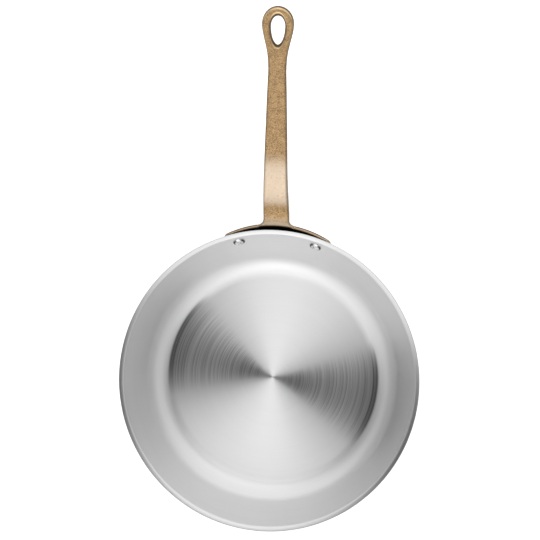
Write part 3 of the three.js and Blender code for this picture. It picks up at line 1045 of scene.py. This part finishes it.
@dataclass
class Rivets:
    """Two rivets through wall and bracket, with domed heads inside the pan and formed tails outside."""

    pan: Pan
    spacing: float = 71.4
    drop: float = 6.3
    shank_diameter: float = 6.0
    head_diameter: float = 11.4
    head_height: float = 2.4
    tail_diameter: float = 10.0
    tail_height: float = 1.8
    askew: float = 0.9
    sides: int = 64
    dome_steps: int = 12

    def place(self, side: Side) -> Matrix:
        """Where a rivet stands, before it is set askew.

        Args:
            side: Which rivet.

        Returns:
            Its place. +Z runs out square to the wall from the cooking face.
        """
        seat = polar(self.pan.wall_end, self.drop, self.pan.wall + math.pi)
        turn = math.asin(side.value * self.spacing / 2 / seat[0])
        slant = math.sin(self.pan.wall)
        outward = Vector((slant * math.sin(turn), slant * math.cos(turn), -math.cos(self.pan.wall)))
        origin = Vector((seat[0] * math.sin(turn), seat[0] * math.cos(turn), seat[1]))
        return Matrix.Translation(origin * MM) @ outward.to_track_quat("Z", "Y").to_matrix().to_4x4()

    def setting(self) -> Matrix:
        """Turn about the pan's axis that leaves rivets and bracket a little askew, as they were riveted."""
        return Matrix.Rotation(-math.radians(self.askew), 4, "Z")

    def dome(self, diameter: float, height: float, base: float) -> list[Point]:
        """Low dome from its rim to the axis.

        Args:
            diameter: Of the rim.
            height: Of the crown over the rim, negative for a dome that points down.
            base: Height of the rim.

        Returns:
            Radius and height of its points.
        """
        turns = spread(0.0, QUARTER, self.dome_steps)
        points = [(diameter / 2 * math.cos(turn), base + height * math.sin(turn)) for turn in turns]
        return [*points[:-1], (0.0, base + height)]

    def build(self, reach: float) -> dict[Side, Piece]:
        """Both rivets.

        Args:
            reach: Distance from the cooking face to the tail's seat.

        Returns:
            The rivets, by side.
        """
        shank = self.shank_diameter / 2
        head = reversed(self.dome(self.head_diameter, -self.head_height, 0.0))
        tail = self.dome(self.tail_diameter, self.tail_height, reach)
        profile = [*head, (shank, 0.0), (shank, reach), *tail]
        rivets = {}
        for side in Side:
            rivet = lathe(side.named("rivet") + "_turned", profile, self.sides)
            self.mark_crown(rivet.data)
            rivet.data.transform(self.setting() @ self.place(side))
            rivets[side] = rivet
        return rivets

    def mark_crown(self, mesh: bpy.types.Mesh) -> None:
        """Stores each point's place across and up its head, in shares of the head's radius.

        Args:
            mesh: A rivet's mesh, before it is put in its place.
        """
        places = mesh.attributes.new(CROWN_PLACE, "FLOAT_VECTOR", "POINT")
        for vertex, place in zip(mesh.vertices, places.data):
            place.vector = vertex.co / (self.head_diameter / 2 * MM)

    def dress(self, rivets: dict[Side, Piece]) -> None:
        """Polishes the rivets and hands them over.

        Args:
            rivets: The rivets, by side.
        """
        polished = PolishedSteel().make()
        for side, rivet in rivets.items():
            rivet.data.materials.append(polished)
            hand_over(rivet, side.named("rivet"))


def upright_way(angle: float) -> Vector:
    """Direction in the handle's upright plane, at an angle over the horizontal in radians."""
    return Vector((0.0, math.cos(angle), math.sin(angle)))


@dataclass
class Bracket:
    """The casting's bowed and sloping plate, which stands off the wall on two bosses about the rivets."""

    pan: Pan
    rivets: Rivets
    rim_gap: float = 3.7
    bow: float = 98.0
    slope: float = 50.0
    thickness: float = 3.6
    edge: float = 1.2
    drop: float = 2.4
    sweep: float = 38.0
    end_radius: float = 10.5
    end_drop: float = 2.5
    end_reach: float = 5.0
    belly: float = 4.0
    block_reach: float = 64.0
    boss_diameter: float = 14.0
    boss_proud: float = 2.0
    clearance: float = 0.3
    headroom: float = 18.0
    sweep_steps: int = 76
    edge_steps: int = 6
    end_steps: int = 32
    belly_steps: int = 48

    def __post_init__(self) -> None:
        """Works out the plate's section about its own upright axis from the driving sizes."""
        self.lean = math.radians(self.slope)
        self.down = self.lean + math.pi
        self.top = (self.pan.rim_diameter / 2 + self.rim_gap, self.pan.rim_height - self.drop)
        self.axis = self.top[0] - self.bow
        self.inner = (self.bow, self.top[1])
        self.outer = polar(self.inner, self.thickness, self.lean - QUARTER)
        self.width = self.outer[0] - self.inner[0]
        self.inner_round = polar(polar(self.inner, self.edge, self.down), self.edge, self.lean - QUARTER)
        self.outer_round = polar(polar(self.outer, self.edge, self.down), self.edge, self.lean + QUARTER)
        self.height = self.inner_round[1] + self.edge
        self.boss_end = self.plate_distance() + self.boss_proud

    def plate_distance(self) -> float:
        """Where a rivet leaves the plate, from the crossing of a line and a cone.

        Returns:
            Distance along the rivet from the cooking face to the plate's outer face.
        """
        place = self.rivets.place(Side.RIGHT)
        ray = place.to_3x3() @ UPWARD
        start = place.translation / MM - Vector((0.0, self.axis, 0.0))
        growth = 1.0 / math.tan(self.lean)
        offset = self.thickness / math.sin(self.lean)
        reach = self.bow + offset + (start.z - self.top[1]) * growth
        climb = ray.z * growth
        a = ray.x ** 2 + ray.y ** 2 - climb ** 2
        b = start.x * ray.x + start.y * ray.y - reach * climb
        c = start.x ** 2 + start.y ** 2 - reach ** 2
        return (math.sqrt(b ** 2 - a * c) - b) / a

    def plate(self) -> Piece:
        """The bowed plate: a sloping band with a rounded top edge, trimmed to its front outline.

        Returns:
            The plate, set askew with the rivets.
        """
        depth = self.top[1] / math.sin(self.lean)
        section = [
            polar(self.inner, depth, self.down),
            polar(self.outer, depth, self.down),
            *arc(self.outer_round, self.edge, self.lean - QUARTER, self.lean, self.edge_steps),
            *arc(self.inner_round, self.edge, self.lean, self.lean + QUARTER, self.edge_steps),
        ]
        sweep = math.radians(self.sweep)
        rings = []
        for turn in spread(-sweep, sweep, self.sweep_steps):
            rings.append([
                Vector((radius * math.sin(turn), self.axis + radius * math.cos(turn), height))
                for radius, height in section
            ])
        plate = loft("handle_cast", rings)
        trim(plate, self.outline(), Cut.INSIDE)
        plate.data.transform(self.rivets.setting())
        return plate

    def outline(self) -> Piece:
        """Front outline of the plate: round ends about the rivets and a belly under the stem.

        Returns:
            The outline as a block.
        """
        middle = (self.pan.sheet + self.boss_end) / 2
        centre = self.rivets.place(Side.RIGHT) @ Vector((0.0, 0.0, middle * MM)) / MM
        centre.x += self.end_reach
        centre.z -= self.end_drop
        low = centre.z - self.end_radius
        right = arc((centre.x, centre.z), self.end_radius, QUARTER, -QUARTER, self.end_steps)
        edge = []
        for x in spread(centre.x, -centre.x, self.belly_steps)[1:-1]:
            dip = self.belly * (1.0 + math.cos(math.pi * x / centre.x)) / 2
            edge.append((x, low - dip))
        left = arc((-centre.x, centre.z), self.end_radius, 3 * QUARTER, QUARTER, self.end_steps)
        points = [*right, *edge, *left]
        faces = (self.axis, self.top[0] + self.block_reach)
        return loft("bracket_outline", [[Vector((x, y, z)) for x, z in points] for y in faces])

    def boss(self, side: Side) -> Piece:
        """Round boss about a rivet, with a rounded outer edge.

        Args:
            side: Which rivet.

        Returns:
            The boss.
        """
        radius = self.boss_diameter / 2
        rounding = self.boss_proud / 2
        centre = (radius - rounding, self.boss_end - rounding)
        edge = arc(centre, rounding, 0.0, QUARTER, self.edge_steps)
        profile = [(0.0, 0.0), (radius, 0.0), *edge, (0.0, self.boss_end)]
        boss = lathe(side.named("boss"), profile, self.rivets.sides)
        boss.data.transform(self.rivets.setting() @ self.rivets.place(side))
        return boss

    def build(self) -> list[Piece]:
        """Plate and bosses, trimmed clear of the pan.

        Returns:
            The pieces, with the plate first.
        """
        bosses = [self.boss(side) for side in Side]
        pieces = [self.plate(), *bosses]
        for piece in pieces:
            trim(piece, self.pan.filled(self.clearance, self.headroom), Cut.OUTSIDE)
        return pieces


@dataclass
class Eye:
    """The egg-shaped eye, narrowest half-way through the loop, with rounded edges at both its faces."""

    width: float = 12.2
    length: float = 25.05
    round_length: float = 8.8
    side_pull: float = 11.8
    point_pull: float = 1.8
    inset: float = 9.05
    draft: float = 22.0
    end_lean: float = 2.25
    rounding: float = 1.0
    round_steps: int = 40
    side_steps: int = 24
    edge_steps: int = 6

    def outline(self, offset: float) -> list[Point]:
        """Egg outline of the eye, from the tip inwards along -Y.

        Args:
            offset: How much it is grown.

        Returns:
            The outline's points, across and along the loop.
        """
        wide = self.width / 2 + offset
        end_offset = offset * self.end_lean
        middle = -self.inset - self.round_length
        reach = self.round_length + end_offset
        point = -self.inset - self.length - end_offset
        blunt = self.point_pull + offset
        turns = spread(0.0, math.pi, self.round_steps)
        round_end = [(wide * math.cos(turn), middle + reach * math.sin(turn)) for turn in turns]
        guides = ((-wide, middle), (-wide, middle - self.side_pull), (-blunt, point), (0.0, point))
        side = [Vector(guide) for guide in guides]
        shares = spread(0.0, 1.0, self.side_steps)[1:]
        left = [tuple(bezier(side, share)[0]) for share in shares]
        right = [(-x, y) for x, y in reversed(left[:-1])]
        return [*round_end, *left, *right]

    def wall(self, thickness: float) -> list[Point]:
        """Section of the eye's wall from half-way through the loop upwards.

        Args:
            thickness: Of the loop.

        Returns:
            Offset of its points, and their height over the loop's upper face.
        """
        lean = math.radians(self.draft)
        foot = self.rounding * (1.0 - math.sin(lean))
        reach = (thickness / 2 - foot) * math.tan(lean) + self.rounding * math.cos(lean)
        edge = arc((reach, -self.rounding), self.rounding, math.pi - lean, QUARTER, self.edge_steps)
        return [(0.0, -thickness / 2), *edge, (reach, self.rounding)]


@dataclass
class Stem:
    """The casting's root, S-bend, flat stem and loop, which hang from one top line out of the bracket."""

    bracket: Bracket
    eye: Eye
    root_slope: float = 3.0
    root_thickness: float = 18.0
    root_width: float = 24.2
    root_fillet: float = 5.5
    root_fade: float = 3.0
    root_turn: float = 26.0
    root_set: float = 1.2
    root_set_fade: float = 8.0
    root_pull: float = 18.0
    bend_run: float = 64.0
    bend_rise: float = 28.3
    bend_pull: float = 52.0
    slope: float = 17.0
    length: float = 134.5
    thickness: float = 7.0
    edge: float = 2.0
    taper_ease: float = 0.85
    neck_width: float = 16.3
    neck_distance: float = 60.1
    flare_bias: float = 1.43
    loop_width: float = 28.5
    loop_end: float = 15.6
    loop_edge: float = 3.4
    edge_steps: int = 6
    bend_steps: int = 400
    fillet_steps: int = 60
    fillet_stride: int = 3
    bend_stride: int = 10
    stem_steps: int = 90
    loop_steps: int = 48
    loop_edge_steps: int = 8

    def __post_init__(self) -> None:
        """Works out the top line from the driving sizes."""
        start = self.bracket.top[0]
        height = self.bracket.height
        self.way = upright_way(math.radians(self.slope))
        self.normal = SIDEWAYS.cross(self.way)
        self.root = Vector((0.0, start, height))
        bend_end = Vector((0.0, start + self.bend_run, height + self.bend_rise))
        root_guide = self.root + upright_way(math.radians(self.root_slope)) * self.root_pull
        self.bend = [self.root, root_guide, bend_end - self.way * self.bend_pull, bend_end]
        self.tip = bend_end + self.way * self.length

    def half_width(self, distance: float, line_length: float) -> float:
        """Half width of the stem before the loop's round end.

        Args:
            distance: From the tip.
            line_length: Of the whole top line.

        Returns:
            The half width.
        """
        if distance > self.neck_distance:
            share = (distance - self.neck_distance) / (line_length - self.neck_distance)
            return (self.neck_width + (self.root_width - self.neck_width) * share ** self.taper_ease) / 2
        share = (distance - self.loop_end) / (self.neck_distance - self.loop_end)
        ease = (1.0 - math.cos(math.pi * (1.0 - (1.0 - share) ** self.flare_bias))) / 2
        return (self.loop_width + (self.neck_width - self.loop_width) * ease) / 2

    def turned(self, along: float) -> float:
        """How far the section has turned from the bracket's face to square on, from 0 to 1."""
        share = min(1.0, max(0.0, (along - self.bracket.width) / self.root_turn))
        return share * share * (3.0 - 2.0 * share)

    def ring(self, top: Vector, hang: Vector, width: float, thickness: float) -> list[Vector]:
        """Rounded section of the stem.

        Args:
            top: Point of the top line that it hangs from.
            hang: Direction that it hangs in.
            width: Half width.
            thickness: Along hang.

        Returns:
            Points of the section.
        """
        edge = min(self.edge, width, thickness / 2)
        side = width - edge
        lower = thickness - edge
        corners = ((side, edge), (-side, edge), (-side, lower), (side, lower))
        points = []
        for quarter, (across, below) in enumerate(corners):
            for turn in spread(quarter * QUARTER, (quarter + 1) * QUARTER, self.edge_steps):
                point = top + hang * (below - edge * math.sin(turn))
                point.x += across + edge * math.cos(turn)
                points.append(point)
        return points

    def root_rings(self, stations: Sequence[Station], line_length: float) -> list[list[Vector]]:
        """Sections of the root and the S-bend, swelling into the bracket.

        Args:
            stations: Distance along the top line, point and direction of each section.
            line_length: Of the whole top line.

        Returns:
            The sections' points.
        """
        bend_length = stations[-1][0]
        fillet = self.root_fillet
        bow = self.bracket.bow
        down = self.bracket.down
        rings = []
        for along, top, direction in stations:
            fade = 1.0 - along / bend_length
            left = min(fillet, max(0.0, self.bracket.width + fillet - along))
            swell = fillet - math.sqrt(fillet ** 2 - left ** 2)
            extra = (self.root_thickness - self.thickness) * fade ** self.root_fade
            square = math.atan2(direction.z, direction.y) + 3 * QUARTER
            turned = self.turned(along)
            hang = upright_way(down + (square - down) * turned)
            width = self.half_width(line_length - along, line_length)
            ring = self.ring(top, hang, width + swell, self.thickness + extra + swell)
            for point in ring:
                point.y -= (bow - math.sqrt(bow ** 2 - point.x ** 2)) * (1.0 - turned)
                point.x += self.root_set * fade ** self.root_set_fade
            rings.append(ring)
        return rings

    def stations(self) -> list[Station]:
        """Fine steps along the S-bend's top line.

        Returns:
            Distance along the line, point and direction of each step.
        """
        stations = []
        along = 0.0
        last = self.root
        for share in spread(0.0, 1.0, self.bend_steps):
            point, direction = bezier(self.bend, share)
            along += (point - last).length
            last = point
            stations.append((along, point, direction))
        return stations

    def shaft(self) -> Piece:
        """Root, S-bend, taper, neck and flare as one skin, pierced by the eye.

        Returns:
            The shaft, up to the loop's round end.
        """
        stations = self.stations()
        line_length = stations[-1][0] + self.length
        start = next(i for i, station in enumerate(stations) if station[0] > self.bracket.width / 2)
        close = stations[start:self.fillet_steps:self.fillet_stride]
        wide_apart = stations[self.fillet_steps::self.bend_stride]
        rings = self.root_rings([*close, *wide_apart], line_length)
        square = upright_way(math.radians(self.slope) - QUARTER)
        for distance in spread(self.length, self.loop_end, self.stem_steps)[1:]:
            top = self.tip - self.way * distance
            rings.append(self.ring(top, square, self.half_width(distance, line_length), self.thickness))
        shaft = loft("stem", rings)
        trim(shaft, self.eye_cutter(), Cut.OUTSIDE)
        return shaft

    def loop(self) -> Piece:
        """Round end of the loop, with an edge rounded all the way round, pierced by the eye.

        Returns:
            The round end.
        """
        leans = spread(0.0, QUARTER, self.loop_edge_steps)
        lower = [self.loop_ring(lean, False) for lean in reversed(leans)]
        upper = [self.loop_ring(lean, True) for lean in leans]
        loop = loft("loop", [*lower, *upper])
        trim(loop, self.eye_cutter(), Cut.OUTSIDE)
        return loop

    def loop_ring(self, lean: float, above: bool) -> list[Vector]:
        """Outline of the loop's round end at one level of its rounded edge, which is rounder towards the tip.

        Args:
            lean: How far the edge has turned there, from upright to level, in radians.
            above: Whether the level is in the upper half of the loop.

        Returns:
            The outline's points.
        """
        points = []
        for turn in spread(0.0, math.pi, self.loop_steps):
            edge = self.edge + (self.loop_edge - self.edge) * math.sin(turn)
            inset = edge * (1.0 - math.cos(lean))
            height = edge * (math.sin(lean) - 1.0)
            across = (self.loop_width / 2 - inset) * math.cos(turn)
            along = (self.loop_end - inset) * math.sin(turn) - self.loop_end
            points.append(self.in_loop(across, along, height if above else -self.thickness - height))
        return points

    def in_loop(self, across: float, along: float, height: float) -> Vector:
        """Point in the loop's plane: across it, along the stem from the tip, and over its upper face."""
        return self.tip + SIDEWAYS * across + self.way * along + self.normal * height

    def eye_cutter(self) -> Piece:
        """Body that pierces the loop with the eye.

        Returns:
            The body.
        """
        upper = self.eye.wall(self.thickness)
        lower = [(offset, -self.thickness - height) for offset, height in reversed(upper[1:])]
        rings = []
        for offset, height in [*lower, *upper]:
            rings.append([self.in_loop(x, y, height) for x, y in self.eye.outline(offset)])
        return loft("eye", rings)

    def mark_eye(self, mesh: bpy.types.Mesh) -> None:
        """Stores how deep each point round the eye is below the nearer face of the loop, in millimetres.

        Args:
            mesh: The casting's mesh.
        """
        depths = mesh.attributes.new(EYE_DEPTH, "FLOAT", "POINT")
        middle = self.eye.inset + self.eye.length / 2
        half = self.thickness / 2
        for vertex, depth in zip(mesh.vertices, depths.data):
            place = vertex.co / MM - self.tip
            across = place.x / (self.loop_width / 2 - self.edge)
            along = (place.dot(self.way) + middle) / (middle - self.loop_edge)
            if math.hypot(across, along) < 1.0:
                depth.value = half - abs(place.dot(self.normal) + half)

    def build(self) -> list[Piece]:
        """The shaft and the loop's round end."""
        return [self.shaft(), self.loop()]


@dataclass
class Handle:
    """The handle: bracket, stem and loop cast as one, with the soft edges that a sand mould leaves."""

    bracket: Bracket
    stem: Stem
    skin_grain: float = 0.55
    softness: float = 0.5
    soft_rounds: int = 8

    def build(self) -> Piece:
        """Casts bracket, stem and loop as one skin.

        Returns:
            The casting.
        """
        casting = join([*self.bracket.build(), *self.stem.build()])
        remesh = casting.modifiers.new("skin", "REMESH")
        remesh.mode = "VOXEL"
        remesh.voxel_size = self.skin_grain * MM
        smooth = casting.modifiers.new("tumbled", "SMOOTH")
        smooth.factor = self.softness
        smooth.iterations = self.soft_rounds
        freeze(casting)
        keep_largest(casting)
        casting.data.shade_smooth()
        return casting

    def dress(self, casting: Piece) -> None:
        """Gives the casting its bronze and hands it over.

        Args:
            casting: The casting.
        """
        self.stem.mark_eye(casting.data)
        bronze = CastBronze().make(self.bracket.axis, self.bracket.bow, self.stem.way)
        casting.data.materials.clear()
        casting.data.materials.append(bronze)
        hand_over(casting, "handle")


@dataclass(frozen=True)
class Panel:
    """An upright panel of the tent, with more or less light at its crown and its foot.

    Its compass direction is in degrees from +X, and its soft edges are cosines of the angle from there.
    """

    turn: float
    edges: Step
    light: float
    crown_light: float = 0.0
    foot_light: float = 0.0

    def reach(self, x: Value, y: Value) -> Value:
        """How far a direction is in the panel, from 0 to 1."""
        level = (x * x + y * y + MM) ** 0.5
        return (heading(x, y, self.turn) / level).rise(*self.edges)


@dataclass(frozen=True)
class Tent:
    """A soft tent of light: panels before and behind, sides pale only low down, a dark patch overhead."""

    front: Panel = Panel(turn=255.0, edges=(0.48, 0.72), light=1.05, crown_light=0.36, foot_light=-0.1)
    back: Panel = Panel(turn=90.0, edges=(0.2, 1.05), light=1.11, crown_light=0.32, foot_light=0.3)
    crown_edges: Step = (0.68, 0.84)
    foot_edges: Step = (0.42, 0.25)
    right_light: float = 0.71
    right_edges: Step = (0.92, 0.83)
    left_light: float = 0.61
    left_edges: Step = (0.77, 0.67)
    side_edges: Step = (-0.15, 0.15)
    side_foot: float = -0.3
    overhead_light: float = 0.02
    overhead_edges: Step = (0.962, 0.993)
    overhead_way: Place = (-0.02, -0.015, 1.0)
    strip: Panel = Panel(turn=262.0, edges=(0.93, 0.99), light=0.68)
    strip_foot: Step = (0.42, 0.52)
    strip_head: Step = (0.82, 0.74)
    horizon_light: float = 0.9
    horizon_edges: Step = (0.08, 0.03)

    def light(self, graph: Graph) -> Value:
        """Light of the tent.

        Args:
            graph: Where the nodes are added.

        Returns:
            The light from each direction.
        """
        x, y, z = graph.axes("Generated")
        crown = z.rise(*self.crown_edges)
        foot = z.rise(*self.foot_edges)
        right = z.rise(*self.right_edges) * self.right_light
        left = z.rise(*self.left_edges) * self.left_light
        tent = left.faded(x.rise(*self.side_edges), right) + foot * self.side_foot
        for panel in (self.front, self.back):
            light = panel.light + crown * panel.crown_light + foot * panel.foot_light
            tent = tent.faded(panel.reach(x, y), light)
        strip = self.strip.reach(x, y) * z.rise(*self.strip_foot) * z.rise(*self.strip_head)
        tent = tent + strip * self.strip.light
        overhead = x * self.overhead_way[0] + y * self.overhead_way[1] + z * self.overhead_way[2]
        tent = tent.faded(overhead.rise(*self.overhead_edges), self.overhead_light)
        return tent.faded(z.rise(*self.horizon_edges), self.horizon_light)


@dataclass
class Studio:
    """A plain pale floor under a soft tent of light, and the camera nearly straight above."""

    tent: Tent = Tent()
    floor_size: float = 6000.0
    floor_tone: Colour = grey(0.9)
    floor_glow: float = 0.65
    floor_mirrored: float = 0.12
    eye: Place = (146.5, 137.4, 1471.1)
    target: Place = (-7.6, 101.7, 0.0)
    roll: float = 2.856
    focal_pixels: float = 1550.0

    def floor(self) -> None:
        """Floor paper, white to the camera and pale in reflections, with a trace of the shadow."""
        sheet = bmesh.new()
        bmesh.ops.create_grid(sheet, x_segments=2, y_segments=2, size=self.floor_size / 2)
        floor = mesh_object("floor", sheet)
        material, graph = new_graph("floor_paper")
        paper = graph.node("ShaderNodeBsdfDiffuse", {}, {"Color": self.floor_tone})
        mirrored = graph.ray("Is Glossy Ray") + graph.ray("Is Transmission Ray")
        strength = graph.ray("Is Camera Ray") * self.floor_glow + mirrored * self.floor_mirrored
        glow = graph.node("ShaderNodeEmission", {}, {"Color": WHITE, "Strength": strength})
        both = graph.node("ShaderNodeAddShader", {}, {0: paper.outputs[0], 1: glow.outputs[0]})
        graph.surface(both.outputs[0])
        floor.data.materials.append(material)

    def world(self) -> None:
        """World that lights the skillet with the tent, and that the camera sees as white."""
        world = bpy.data.worlds.new("studio")
        world.use_nodes = True
        graph = Graph(world.node_tree)
        strength = self.tent.light(graph).faded(graph.ray("Is Camera Ray"), 1.0)
        light = graph.node("ShaderNodeBackground", {}, {"Color": WHITE, "Strength": strength})
        graph.node("ShaderNodeOutputWorld", {}, {"Surface": light.outputs[0]})
        bpy.context.scene.world = world

    def camera(self) -> None:
        """Camera that looks down on the pan, turned a little."""
        camera = bpy.data.cameras.new("camera")
        camera.sensor_width = SENSOR_WIDTH
        camera.lens = self.focal_pixels / IMAGE_WIDTH * SENSOR_WIDTH
        back = (Vector(self.eye) - Vector(self.target)).normalized()
        roll = math.radians(self.roll)
        level = Vector((math.cos(roll), math.sin(roll), 0.0))
        up = back.cross(level).normalized()
        turn = Matrix((up.cross(back), up, back)).transposed().to_4x4()
        holder = bpy.data.objects.new("camera", camera)
        holder.matrix_world = Matrix.Translation(Vector(self.eye) * MM) @ turn
        bpy.context.scene.collection.objects.link(holder)
        bpy.context.scene.camera = holder

    def build(self) -> None:
        """Floor, light and camera."""
        self.floor()
        self.world()
        self.camera()
        bpy.context.scene.view_settings.view_transform = "Standard"


def main() -> None:
    """Builds and dresses the skillet and sets up the studio."""
    logging.basicConfig(level=logging.INFO, format="%(name)s: %(message)s")
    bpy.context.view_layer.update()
    pan = Pan()
    rivets = Rivets(pan)
    bracket = Bracket(pan, rivets)
    handle = Handle(bracket, Stem(bracket, Eye()))
    pan.dress(pan.build())
    handle.dress(handle.build())
    rivets.dress(rivets.build(bracket.boss_end))
    Studio().build()


if __name__ == "__main__":
    main()
